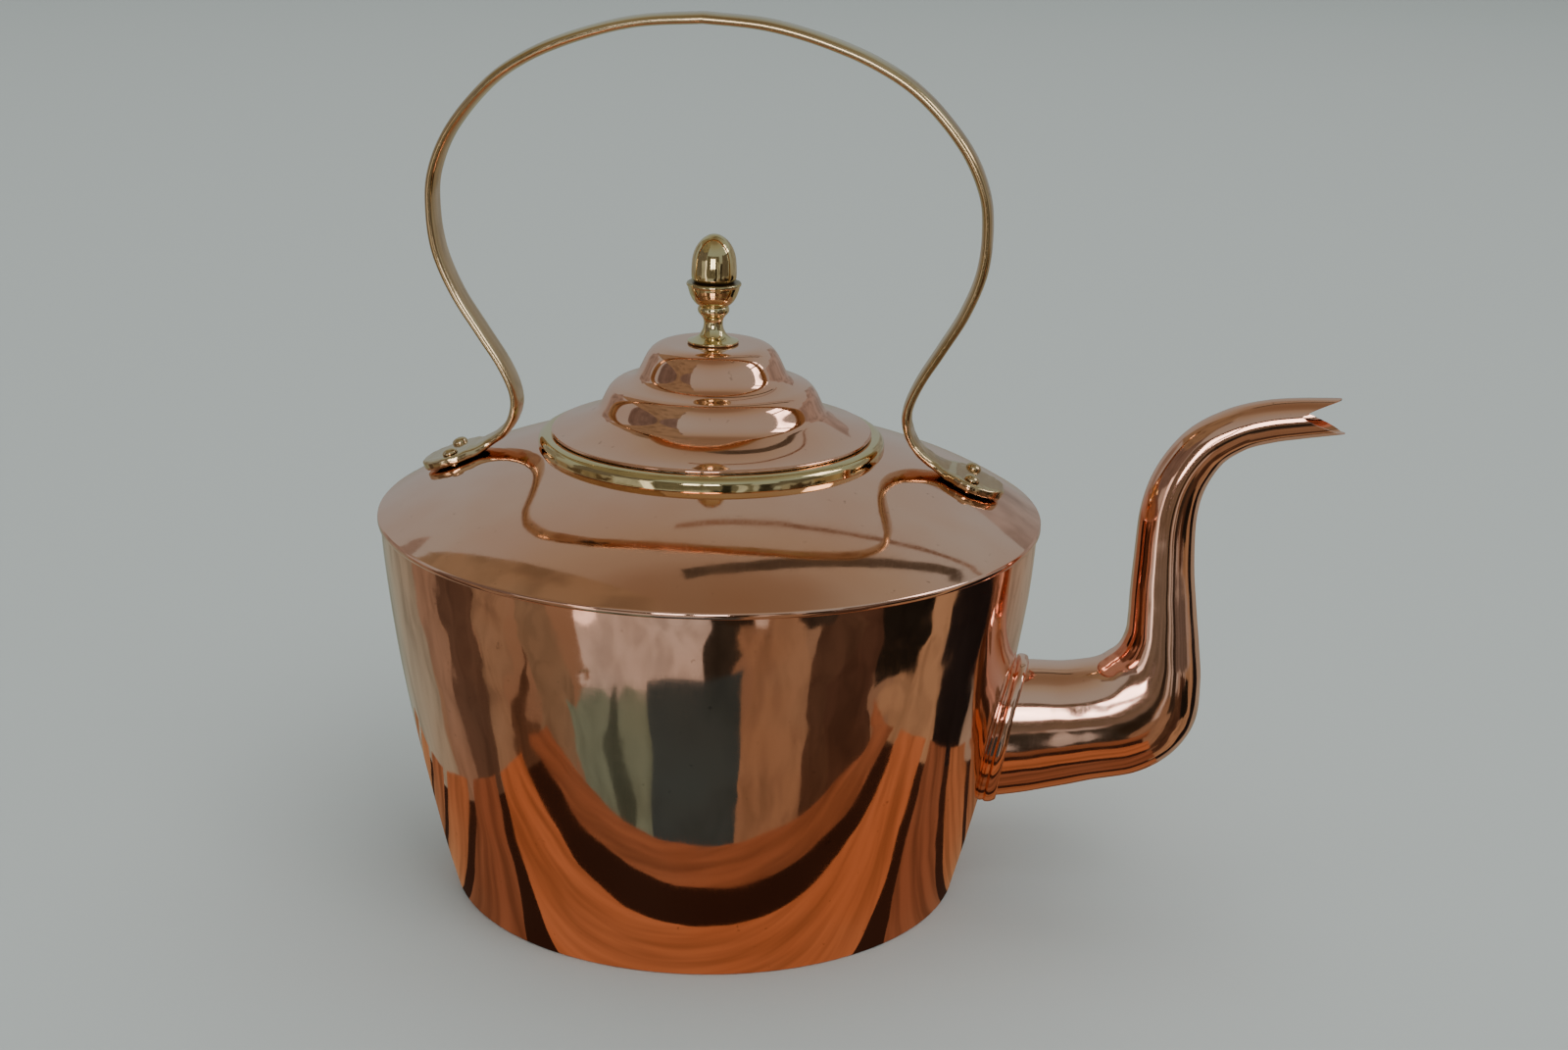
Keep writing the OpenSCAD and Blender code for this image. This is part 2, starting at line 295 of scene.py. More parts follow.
# Middles of the dented zones, turned in radians from -Y towards +X, and their width and lower edge
DENTED_TURNS = (-0.52, 0.72, 1.9, -1.9, 2.9)
DENTED_WIDTH, DENTED_FROM = 0.30, 0.080
# Single small dents: (turn, height, radius in mm, depth in mm)
WALL_PITS = [(-0.22, 0.139, 1.5, 0.30), (0.20, 0.088, 1.3, 0.26), (2.3, 0.06, 1.6, 0.2)]


def wall_radius(z):
    """Outer radius of the wall at a height."""
    return BASE_R + (SEAM_R - BASE_R) * (1 - max(0.0, 1 - z / SEAM_Z) ** 1.5)


def shoulder_z(r):
    """Height of the shoulder's outer face at a radius."""
    u = max(r - NECK_R, 0) / (SEAM_R - NECK_R)
    return NECK_FOOT - SHOULDER_DROP * (0.714 * u + 0.286 * u**3.3)


# ---------------------------------------------------------------- body
def quiet_edges(p):
    """Fades the wall's dints out at its foot and under the shoulder's lip."""
    return min(1, p.z / 0.012) * clamp01((SEAM_Z - p.z) / 0.008)


def away_from_spout(p):
    """Keeps the wall true within 43 mm of the spout's middle, where its collar is fitted to it."""
    if p.x < 0:
        return 1.0
    return smooth01((math.hypot(p.y, p.z - SPOUT_MID_Z) - 0.043) / 0.02)


def dented_zone(p):
    """Upper parts of the wall where the sheet is more uneven."""
    turn = math.atan2(p.x, -p.y)
    near = max(math.exp(-(((turn - t) / DENTED_WIDTH) ** 2)) for t in DENTED_TURNS)
    return near * smooth01((p.z - DENTED_FROM) / 0.05)


def make_wall():
    heights = np.linspace(wall_low.z, wall_high.z, 69)
    edge = 0.9 * MM
    outer = [(wall_radius(z), z) for z in heights]
    inner = [(r - SHEET, z) for r, z in outer]
    foot = rounded(
        [inner[0], outer[0], (wall_radius(2.5 * MM), 2.5 * MM)], [0, edge, 0]
    )[1:-1]
    outline = [tuple(p) for p in foot] + outer[1:] + inner[::-1]
    obj = outward(lathe("wall", outline, sides=360))
    line_with_tin(obj, lambda p: from_axis(p.center) < wall_radius(p.center.z) - 0.8 * SHEET)
    hammered(obj, PLANISHED, lambda p: quiet_edges(p) * away_from_spout(p))
    hammered(obj, DENTED, lambda p: quiet_edges(p) * away_from_spout(p) * dented_zone(p))
    pits = []
    for turn, z, radius, depth in WALL_PITS:
        out = Matrix.Rotation(turn, 3, "Z") @ Vector((0, -1, 0))
        reach = wall_radius(z)
        pits.append(((out.x * reach, out.y * reach, z), radius * MM, depth * MM))
    return pitted(obj, pits)


def spout_hole_cutter():
    """Obround bar through the +X side of the wall."""
    half, r, steps = 9 * MM, 17 * MM, 24
    x_near, x_far = 0.1, 0.15
    ring = []
    for start, mid in ((0, SPOUT_MID_Z + half), (math.pi, SPOUT_MID_Z - half)):
        for k in range(steps):
            a = start + math.pi * k / (steps - 1)
            ring.append((r * math.cos(a), mid + r * math.sin(a)))
    n = len(ring)
    verts = [(x, y, z) for x in (x_near, x_far) for y, z in ring]
    faces = [[k, (k + 1) % n, (k + 1) % n + n, k + n] for k in range(n)]
    faces += [list(range(n))[::-1], list(range(n, 2 * n))]
    return outward(build("cutter", verts, faces))


def carve(obj, cutter):
    """Takes the cutter out of the piece and removes the cutter."""
    mod = obj.modifiers.new("cut", "BOOLEAN")
    mod.operation, mod.solver, mod.object = "DIFFERENCE", "EXACT", cutter
    graph = bpy.context.evaluated_depsgraph_get()
    mesh = bpy.data.meshes.new_from_object(obj.evaluated_get(graph))
    obj.modifiers.clear()
    obj.data = mesh
    mesh.set_sharp_from_angle(angle=math.radians(40))
    bpy.data.objects.remove(cutter)


def make_base():
    """Flat base plate, its middle raised a little and its flange turned up inside the wall's foot."""
    z1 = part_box("base_plate")[1].z
    top_r = wall_radius(z1) - SHEET
    low_r = BASE_R - SHEET
    raised = 0.35 * MM
    mid_r, flat_r = 0.012, 0.1
    outline = [(0, raised)]
    outline += [(r, raised * (1 - (r / flat_r) ** 4)) for r in np.linspace(mid_r, flat_r, 9)]
    outline += [(low_r - 4 * MM, 0), (low_r - 1.2 * MM, 0), (low_r - HAIR, 1.1 * MM)]
    outline += [(top_r - HAIR, z1), (top_r - SHEET + 0.2 * MM, z1), (top_r - SHEET, z1 - 0.3 * MM)]
    outline += [(low_r - SHEET, 2.4 * MM), (low_r - 2.0 * SHEET, 1.35 * MM)]
    outline += [(r, 1.3 * MM) for r in np.linspace(flat_r, mid_r, 9)] + [(0, 1.35 * MM)]
    obj = outward(lathe("base", outline, sides=180))
    line_with_tin(obj, lambda p: p.normal.z > 0.5 and p.center.z > 0.9 * MM)
    return obj


def make_shoulder():
    bead = 1.5 * MM
    outline = [(BEAD_R - 0.25 * MM, LIP_Z), (BEAD_R, LIP_Z + 0.3 * MM)]
    outline += [
        (BEAD_R - bead * (1 - math.cos(a)), SEAM_Z - bead * (1 - math.sin(a)))
        for a in np.radians(np.linspace(0, 62, 8))
    ]
    dome = np.linspace(SEAM_R - 1.6 * MM, NECK_R + 1.2 * MM, 34)
    outline += [(r, shoulder_z(r)) for r in dome]
    outline += [
        (NECK_R + 0.35 * MM, shoulder_z(NECK_R) + 0.35 * MM),
        (NECK_R, shoulder_z(NECK_R) + 1.2 * MM),
        (NECK_R, NECK_TOP - 0.3 * MM),
        (NECK_R - 0.3 * MM, NECK_TOP),
        (NECK_R - SHEET + 0.3 * MM, NECK_TOP),
        (NECK_R - SHEET, NECK_TOP - 0.3 * MM),
        (NECK_R - SHEET, shoulder_z(NECK_R) + 0.6 * MM),
    ]
    outline += [(r, shoulder_z(r) - 1.3 * MM) for r in dome[::-1]]
    outline += [(SEAM_R + HAIR, SEAM_Z - 1.4 * MM), (SEAM_R + HAIR, LIP_Z)]
    obj = outward(lathe("shoulder_dome", outline, sides=360))

    def under_dome(p):
        r = from_axis(p.center)
        return p.center.z < shoulder_z(r) - 0.8 * MM and r < SEAM_R - 0.5 * MM

    def away_from_edges(p):
        r = from_axis(p)
        return clamp01((r - 0.078) / 0.008) * clamp01((0.138 - r) / 0.01)

    def on_bead(p):
        return 1.0 if from_axis(p) > SEAM_R - 1.0 * MM else 0.0

    line_with_tin(obj, under_dome)
    dome_waves = [(0.085 * MM, 0.050, 0.050, 9.3), (0.030 * MM, 0.017, 0.017, 2.2)]
    hammered(obj, dome_waves, away_from_edges)
    return hammered(obj, [(0.10 * MM, 0.016, 0.016, 4.4)], on_bead)


def make_ring():
    """Half-round brass band round the neck."""
    r1 = ring_high.y
    top = ring_high.z
    outline = [(r1 - 0.3 * MM, shoulder_z(r1) - 0.05 * MM), (r1, shoulder_z(r1) + 0.25 * MM)]
    outline += [
        (r1 - 4.2 * MM * (1 - math.cos(a)), top - 3.4 * MM * (1 - math.sin(a)))
        for a in np.radians(np.linspace(2, 90, 14))
    ]
    outline += [(NECK_R + 0.8 * MM, top), (NECK_R + 0.25 * MM, top - 0.15 * MM)]
    outline += [(NECK_R + HAIR, top - 0.6 * MM), (NECK_R + HAIR, NECK_FOOT + 1.2 * MM)]
    outline += [(NECK_R + 1.25 * MM, shoulder_z(NECK_R + 1.25 * MM) + HAIR)]
    obj = outward(lathe("neck_ring", outline, sides=300))
    return hammered(obj, [(0.05 * MM, 0.02, 0.02, 3.1)], lambda p: 1.0 if p.z > 0.2 else 0.3)


# ---------------------------------------------------------------- lid
def make_lid():
    """Flared brim, two stepped tiers and a flat crown with the stud's hole in it."""
    rim_z = lid_low.z + SHEET
    rim_r = lid_high.y
    top_z = lid_high.z
    foot_z = rim_z + 8 * MM
    rim, foot = (rim_r, rim_z), (50.6 * MM, foot_z)
    step, neck = (40.4 * MM, foot_z + 12.5 * MM), (31.4 * MM, foot_z + 18.4 * MM)
    parts = (
        (rim, (62.5 * MM, rim_z + 1.5 * MM), (56.2 * MM, rim_z + 4.4 * MM), foot, 22),
        (foot, (46.4 * MM, foot_z + 2.7 * MM), (46.8 * MM, foot_z + 10.4 * MM), step, 22),
        (step, (36 * MM, step[1] + 1.3 * MM), (33.2 * MM, step[1] + 2.1 * MM), neck, 12),
        (neck, (28.6 * MM, neck[1] + 5.6 * MM), (27.2 * MM, top_z), (18.5 * MM, top_z), 20),
    )
    line = [rim] + [tuple(p) for part in parts for p in bezier(*part)]
    line += [(r * MM, top_z) for r in (15, 11.5, 7, 2.54)]
    arr = np.array(line)
    along = np.gradient(arr, axis=0)
    along /= np.linalg.norm(along, axis=1)[:, None]
    under = arr + SHEET * np.column_stack((-along[:, 1], along[:, 0]))
    under[0] = (rim_r, rim_z - SHEET)
    under[-1] = (arr[-1][0], top_z - SHEET)
    # Points of the lower face that would run back on themselves in a tight bend are left out
    keep = [under[0]]
    for p in under[1:]:
        if p[0] < keep[-1][0] - HAIR or p[1] > keep[-1][1] + HAIR:
            keep.append(p)
    edge_r = 0.35 * MM
    edge = [
        (rim_r - edge_r, rim_z - SHEET),
        (rim_r, rim_z - SHEET + edge_r),
        (rim_r, rim_z - edge_r),
        (rim_r - edge_r, rim_z + HAIR),
    ]
    outline = edge + line[1:] + [tuple(p) for p in keep[:0:-1]]
    obj = outward(lathe("lid", outline, sides=300, sharp=50))
    height_at = {round(r, 6): z for r, z in line}
    radii = np.array(sorted(height_at))
    heights = np.array([height_at[r] for r in radii])

    def under_lid(p):
        r = from_axis(p.center)
        below = np.interp(r, radii, heights) - 0.5 * SHEET
        return p.normal.z < 0.2 and p.center.z < below and r < rim_r - 0.6 * MM

    line_with_tin(obj, under_lid)
    return hammered(obj, [(0.05 * MM, 0.03, 0.03, 6.6), (0.02 * MM, 0.010, 0.010, 8.8)])


def make_flange():
    r1, r0 = flange_high.y, flange_high.y - SHEET
    outline = rounded(
        [
            (r0, flange_low.z), (r1, flange_low.z), (r1, flange_high.z - 0.15 * MM),
            (r0, flange_high.z),
        ],
        [0.35 * MM, 0.35 * MM, 0, 0],
    )
    return outward(lathe("lid_flange_band", [tuple(p) for p in outline], sides=256))


def turned(name, outline, low, high, drawn_height):
    """Lathe piece of the knob. outline is in millimetres from its foot, drawn for a given height."""
    k = (high.z - low.z) / drawn_height
    return outward(lathe(name, [(r * MM, low.z + z * k) for r, z in outline], sides=128, sharp=38))


def make_pedestal():
    foot = rounded([(0, 0), (10.9, 0), (11.1, 1.1), (10.1, 1.45)], [0, 0.45, 0.4, 0], 4)[1:-1]
    stem = catmull(
        [
            (10.1, 1.45), (8.2, 2.15), (6.4, 3.3), (5.2, 4.8), (4.4, 6.6), (4.1, 8.6),
            (4.4, 10.4), (5.2, 11.8), (6.15, 12.8),
        ],
        6,
    )
    knop = [
        (5.9 + 0.9 * math.sin(a), 14.6 - 1.75 * math.cos(a))
        for a in np.radians(np.linspace(12, 165, 14))
    ]
    bowl = catmull(
        [(6.2, 16.35), (7.4, 16.95), (8.85, 18.5), (10.1, 20.8), (10.85, 23.1), (11.2, 24.6)], 6
    )
    rim = [
        (11.05 + 0.75 * math.sin(a), 25.6 - 0.85 * math.cos(a))
        for a in np.radians(np.linspace(25, 160, 10))
    ]
    outline = [(0, 0), *foot, *stem, *knop, *bowl, *rim, (10.6, 26.4), (9.4, 26.5), (0, 26.5)]
    return turned("finial_cup", outline, pedestal_low, pedestal_high, drawn_height=26.6)


def make_acorn():
    nut = catmull(
        [
            (9.3, 1.0), (9.65, 1.9), (9.75, 4.2), (9.6, 7.6), (9.2, 10.9), (8.35, 13.7),
            (6.95, 16.2), (5.0, 18.4), (2.5, 20.0), (0.5, 20.48),
        ],
        6,
    )
    outline = [(0, 0.1), (8.4, 0.1), (8.75, 0.35), (8.9, 0.85), *nut, (0, 20.5)]
    return turned("finial_acorn_knob", outline, acorn_low, acorn_high, drawn_height=20.5)


# ---------------------------------------------------------------- spout
# Stations along the middle line, as in the CAD: x, z, heading in degrees, half height, half width
SPOUT = catmull(
    [
        (110, 72, 5, 32.0, 23.0), (136, 75, 9, 30.0, 21.8), (150, 77, 11, 28.8, 21.0),
        (165, 79.5, 16, 27.2, 20.5), (181.3, 83.3, 23, 27.3, 20.0), (191.4, 89.7, 34, 26.9, 19.0),
        (198, 99, 46, 24.2, 17.8), (200.1, 111.8, 57, 20.0, 16.4), (199.4, 125, 69, 16.6, 15.0),
        (198.3, 139, 81, 14.4, 13.8), (197.5, 155, 90, 12.9, 12.8), (198.1, 177, 84, 12.0, 12.0),
        (202.3, 193, 69, 11.2, 11.2), (211.5, 206.8, 49, 10.2, 10.4), (224, 215, 26, 9.5, 9.8),
        (237, 219.2, 13, 9.2, 9.4), (251, 221.4, 8, 8.7, 9.0), (269, 223.2, 6, 7.6, 8.4),
    ],
    16,
)
# The mouth, seen from the side: its two lips run from the notch to their points (x, z)
NOTCH = (250.5, 224.0)
MOUTH_UP = np.vstack(([NOTCH], bezier(NOTCH, (254, 226.6), (260, 228.8), (268, 231), 24)))
MOUTH_LOW = np.vstack(([NOTCH], bezier(NOTCH, (253, 221), (259.5, 220.2), (268, 215.6), 24)))
WALL_GAP = 0.05   # between the wall and the spout's root, in millimetres
SEAM_HALF = 0.155  # half width of the lapped seam, in radians round the spout


def spout_station(s):
    """Interpolated station at a fraction s (0 to 1) of the spout."""
    at = min(max(s, 0.0), 1.0) * (len(SPOUT) - 1)
    i = min(int(at), len(SPOUT) - 2)
    return SPOUT[i] + (SPOUT[i + 1] - SPOUT[i]) * (at - i)


def spout_point(s, a, grow=0.0):
    """Point in millimetres on the spout's outer face, moved off it by grow. Angle 0 is the upper side.

    Near its root the spout is a little squarer than an ellipse.
    """
    x, z, heading, half_h, half_w = spout_station(s)
    h = math.radians(heading)
    c, w = math.cos(a), math.sin(a)
    flat = 2 / (2 + 0.45 * max(0.0, 1 - s / 0.45))
    cc = math.copysign(abs(c) ** flat, c)
    ww = math.copysign(abs(w) ** flat, w)
    nx, nw = c / half_h, w / half_w
    n = math.hypot(nx, nw)
    up = half_h * cc + grow * nx / n
    side = half_w * ww + grow * nw / n
    return np.array((x - math.sin(h) * up, side, z + math.cos(h) * up))


def first_inside(test, lo, hi, steps=60):
    """Smallest value from lo to hi at which test is true, refined by halving."""
    before = lo
    for k in range(1, steps + 1):
        v = lo + (hi - lo) * k / steps
        if test(v):
            for _ in range(24):
                mid = (before + v) / 2
                before, v = (before, mid) if test(mid) else (mid, v)
            return v
        before = v
    return hi


def in_mouth(p):
    """Whether a point lies in the opening between the two lips, seen from the side."""
    if p[0] <= NOTCH[0]:
        return False
    high = np.interp(p[0], MOUTH_UP[:, 0], MOUTH_UP[:, 1])
    low = np.interp(p[0], MOUTH_LOW[:, 0], MOUTH_LOW[:, 1])
    return low < p[2] < high


def off_wall(p):
    """Distance in millimetres of a point outside the wall's outer face."""
    return math.hypot(p[0], p[1]) - wall_radius(p[2] * MM) / MM


def root_at(a):
    """Fraction of the spout's length at which its face at angle a leaves the wall."""
    return first_inside(lambda s: off_wall(spout_point(s, a)) > WALL_GAP, 0, 0.3)


def mouth_at(a):
    """Fraction of the spout's length at which its face at angle a ends in the mouth."""
    return first_inside(lambda s: in_mouth(spout_point(s, a)), 0.8, 1.0, 200)


def lap(s, a):
    """Height of the lapped seam along the spout's underside and outer bend."""
    d = (abs(abs((a + math.pi) % (2 * math.pi) - math.pi) - math.pi)) / SEAM_HALF
    edge = clamp01((1.15 - d) / 0.3)
    fade = min(1.0, s / 0.03) * clamp01((0.86 - s) / 0.10)
    return 0.42 * edge * edge * (3 - 2 * edge) * fade


def make_spout():
    """Tube from the wall to the mouth. Its tin stops short of the mouth, where bare copper shows."""
    around, along = 120, 190
    tinned_rows = 150
    thick = SHEET / MM
    angles = [2 * math.pi * k / around for k in range(around)]
    starts = [root_at(a) for a in angles]
    ends = [mouth_at(a) for a in angles]
    verts = []
    for grow in (0.0, -thick):
        for t in np.linspace(0, 1, along):
            for k, a in enumerate(angles):
                s = starts[k] + (ends[k] - starts[k]) * t
                wall = thick * max(0.35, min(1.0, (1 - t) * 18)) if grow else 0.0
                verts.append(spout_point(s, a, -wall if grow else lap(s, a)) * MM)
    faces, slots = [], []

    def at(side, i, k):
        return side * along * around + i * around + k % around

    for side in (0, 1):
        for i in range(along - 1):
            for k in range(around):
                f = [at(side, i, k), at(side, i, k + 1), at(side, i + 1, k + 1), at(side, i + 1, k)]
                faces.append(f if side == 0 else f[::-1])
                slots.append(side if i < tinned_rows else 0)
    for i in (0, along - 1):
        for k in range(around):
            f = [at(0, i, k), at(1, i, k), at(1, i, k + 1), at(0, i, k + 1)]
            faces.append(f if i == 0 else f[::-1])
            slots.append(0)
    obj = outward(build("spout_tube", verts, faces, 40, slots))
    waves = [(0.16 * MM, 0.020, 0.024, 7.7), (0.07 * MM, 0.009, 0.011, 1.2)]
    return hammered(obj, waves, lambda p: clamp01((0.245 - p.x) / 0.02))


def make_collar():
    """Band round the spout's root, drawn as (distance along the spout, height off it) in millimetres."""
    around = 144
    section = [
        (0.05, 0.03), (0.05, 1.1), (0.25, 1.3), (1.5, 1.3), (1.75, 1.45), (2.0, 1.9), (2.7, 2.25),
        (3.7, 2.45), (4.7, 2.42), (5.7, 2.25), (6.6, 1.95), (7.15, 1.6), (7.35, 1.2), (7.4, 0.03),
    ]
    step = 0.002
    verts, faces = [], []
    for k in range(around):
        a = 2 * math.pi * k / around
        start = root_at(a)
        per_mm = step / np.linalg.norm(spout_point(start + step, a) - spout_point(start, a))
        for u, h in section:
            s = start + u * per_mm
            p = spout_point(s, a, h + (lap(s, a) if h < 0.5 else 0))
            if u < 0.1:
                out = off_wall(p) - WALL_GAP
                r = math.hypot(p[0], p[1])
                p = p * np.array(((r - out) / r, (r - out) / r, 1))
            verts.append(p * MM)
    m = len(section)
    for k in range(around):
        j = (k + 1) % around
        for i in range(m):
            n = (i + 1) % m
            faces.append([k * m + i, j * m + i, j * m + n, k * m + n])
    obj = outward(build("spout_root_collar", verts, faces, 40))
    return hammered(obj, [(0.07 * MM, 0.010, 0.010, 2.9)])


# ---------------------------------------------------------------- handle
# Millimetres and radians. The bail leans towards -X by LEAN for each millimetre above LEAN_FROM.
FOOT_X, FOOT_SLOPE, FOOT_R, STRAP_T = 112.0, math.radians(21), 15.5, 5.0
FOOT_Z = shoulder_z(FOOT_X * MM) / MM
LEAN, LEAN_FROM = 0.03, 190
STRAP_HALF_W = 8.5


def foot_point(side, x, y, z):
    """A point given in a foot's own frame: x down the slope, z off the shoulder. Millimetres."""
    c, s = math.cos(FOOT_SLOPE), math.sin(FOOT_SLOPE)
    return (side * (FOOT_X + x * c + z * s), side * y if side < 0 else y, FOOT_Z - x * s + z * c)


def handle_line():
    """Middle line of the bail from the left foot's tip over the arch to the right foot's tip."""
    mid = STRAP_T / 2
    tail = [foot_point(1, x, 0, mid) for x in (-13, -7, 0, 5, 10, 13, 14.8, 15.5)]
    half = [
        (0, 379.5), (26, 377.5), (49, 372), (72, 363), (91, 350.5), (108, 331), (116.5, 313),
        (118.5, 297), (116.5, 278), (109.5, 260), (99.5, 243.5), (90.5, 229), (85.6, 217),
        (86, 207.5), (90.8, 199.3),
    ] + [(p[0], p[2]) for p in tail]
    curve = catmull(half, 14)
    left = [(-x - LEAN * max(z - LEAN_FROM, 0), z) for x, z in curve[::-1]]
    right = [(x - LEAN * max(z - LEAN_FROM, 0), z) for x, z in curve[1:]]
    return np.array(left + right)


def strap_size(from_tip, z):
    """Half width, half thickness and roundness of the strap, by distance from its tip and height."""
    pad = 1 - smooth01((from_tip - 17) / 20)
    if from_tip < FOOT_R:
        d = FOOT_R - from_tip
        half_w = math.sqrt(max(FOOT_R**2 - d * d, 0.02))
    else:
        spread = 1 - smooth01((from_tip - FOOT_R) / 19)
        half_w = STRAP_HALF_W + (FOOT_R - STRAP_HALF_W) * spread
    arch = smooth01((z - 215) / 60)
    half_t = (2.15 + 0.35 * arch) * (1 - pad) + 2.35 * pad
    half_t *= min(1.0, (0.35 + from_tip / 2.2))
    return half_w, half_t, 2 / (2.5 + 3.0 * pad)


def make_handle():
    line = handle_line()
    step = np.gradient(line, axis=0)
    step /= np.linalg.norm(step, axis=1)[:, None]
    normal = np.column_stack((-step[:, 1], step[:, 0]))
    run = np.concatenate(([0], np.cumsum(np.linalg.norm(np.diff(line, axis=0), axis=1))))
    around = 56
    verts, faces = [], []
    for i, (x, z) in enumerate(line):
        half_w, half_t, power = strap_size(min(run[i], run[-1] - run[i]), z)
        for k in range(around):
            a = 2 * math.pi * k / around
            c, s = math.cos(a), math.sin(a)
            w = half_w * math.copysign(abs(c) ** power, c)
            t = half_t * math.copysign(abs(s) ** power, s)
            verts.append(((x + normal[i, 0] * t) * MM, w * MM, (z + normal[i, 1] * t) * MM))
    rings = [list(range(i * around, (i + 1) * around)) for i in range(len(line))]
    for lower, upper in zip(rings, rings[1:]):
        faces += band(lower, upper)
    faces += [rings[0][::-1], rings[-1]]
    obj = outward(build("bail_handle", verts, faces, 50))

    def near_feet(p):
        return 1 - smooth01((p.z - 0.205) / 0.02)

    hammered(obj, [(0.28 * MM, 0.0065, 0.0065, 3.3), (0.18 * MM, 0.0028, 0.0028, 8.1)], near_feet)
    return hammered(obj, [(0.16 * MM, 0.028, 0.028, 5.5), (0.05 * MM, 0.011, 0.011, 6.2)])


def make_rivets():
    """Four rivets in one mesh: domed and slightly struck heads, shanks, and peened tails."""
    profile = [(0, -3.9), (1.6, -3.9), (2.7, -3.4), (2.8, -2.75), (1.97, -2.7), (1.97, 4.9)]
    profile += [(3.35, 4.95), (3.4, 5.2)]
    profile += [
        (3.4 * math.cos(a), 5.2 + 2.1 * math.sin(a)) for a in np.radians((14, 30, 46, 62, 78))
    ]
    profile += [(0, 7.32)]
    around, off_middle, head_from = 40, 9.5, 5
    verts, faces = [], []
    for side in (-1, 1):
        for y in (-off_middle, off_middle):
            rings = []
            for r, z in profile:
                if r == 0:
                    rings.append([len(verts)] * around)
                    verts.append(Vector(foot_point(side, 0, y, z)) * MM)
                    continue
                rings.append(list(range(len(verts), len(verts) + around)))
                for k in range(around):
                    a = 2 * math.pi * k / around
                    c, s = math.cos(a), math.sin(a)
                    struck = 1.0
                    if z > head_from:
                        struck += 0.07 * noise.noise(Vector((2.1 * c + side, 2.1 * s + y, z)))
                    q = (r * c * struck, y + r * s * struck, z)
                    verts.append(Vector(foot_point(side, *q)) * MM)
            for lower, upper in zip(rings, rings[1:]):
                faces += band(lower, upper)
    return outward(build("rivets", verts, faces, 35))


# ---------------------------------------------------------------- materials
def shader(tree, kind, inputs=(), **settings):
    """Adds a shader node. inputs maps socket names or numbers to values or to other nodes' outputs."""
    n = tree.nodes.new("ShaderNode" + kind)
    for key, value in settings.items():
        setattr(n, key, value)
    for key, value in dict(inputs).items():
        if isinstance(value, bpy.types.NodeSocket):
            tree.links.new(value, n.inputs[key])
        else:
            n.inputs[key].default_value = value
    return n


def new_material(name):
    """A material with an empty node tree, and its tree."""
    mat = bpy.data.materials.new(name)
    mat.use_nodes = True
    mat.node_tree.nodes.clear()
    return mat, mat.node_tree


def end_in(tree, surface, kind="OutputMaterial"):
    tree.links.new(surface.outputs[0], shader(tree, kind).inputs[0])


def end_in_metal(tree, colour, roughness, normal):
    end_in(tree, shader(
        tree, "BsdfPrincipled",
        {"Base Color": colour, "Metallic": 1.0, "Roughness": roughness, "Normal": normal},
    ))


def calc(tree, operation, *values):
    """Output of a math node."""
    return shader(tree, "Math", dict(enumerate(values)), operation=operation).outputs[0]


def bumped(tree, distance, height, **normal):
    """Bump normal. normal may hold Normal, the one to start from."""
    inputs = {"Strength": 1.0, "Distance": distance, "Height": height, **normal}
    return shader(tree, "Bump", inputs).outputs[0]


def stretched(tree, place, scale, rotation=(0.0, 0.0, 0.0)):
    """Coordinates turned and scaled."""
    inputs = {"Vector": place, "Rotation": rotation, "Scale": scale}
    return shader(tree, "Mapping", inputs).outputs[0]


def ramp(tree, fac, low, high):
    """Smooth step of fac between low and high, each given as (value in, value out)."""
    return shader(
        tree, "MapRange", {0: fac, 1: low[0], 2: high[0], 3: low[1], 4: high[1]},
        interpolation_type="SMOOTHSTEP",
    ).outputs[0]


def noise_at(tree, vector, scale, detail=2.0, rough=0.5):
    return shader(
        tree, "TexNoise", {"Vector": vector, "Scale": scale, "Detail": detail, "Roughness": rough}
    ).outputs["Fac"]


def blend_colour(tree, fac, a, b):
    """Colour a where fac is 0, b where it is 1. The mix node's colour sockets are 6 and 7."""
    n = shader(tree, "Mix", data_type="RGBA")
    for socket, value in ((n.inputs[0], fac), (n.inputs[6], a), (n.inputs[7], b)):
        if isinstance(value, bpy.types.NodeSocket):
            tree.links.new(value, socket)
        else:
            socket.default_value = value
    return n.outputs[2]


TARNISH = (0.10, 0.055, 0.03, 1)


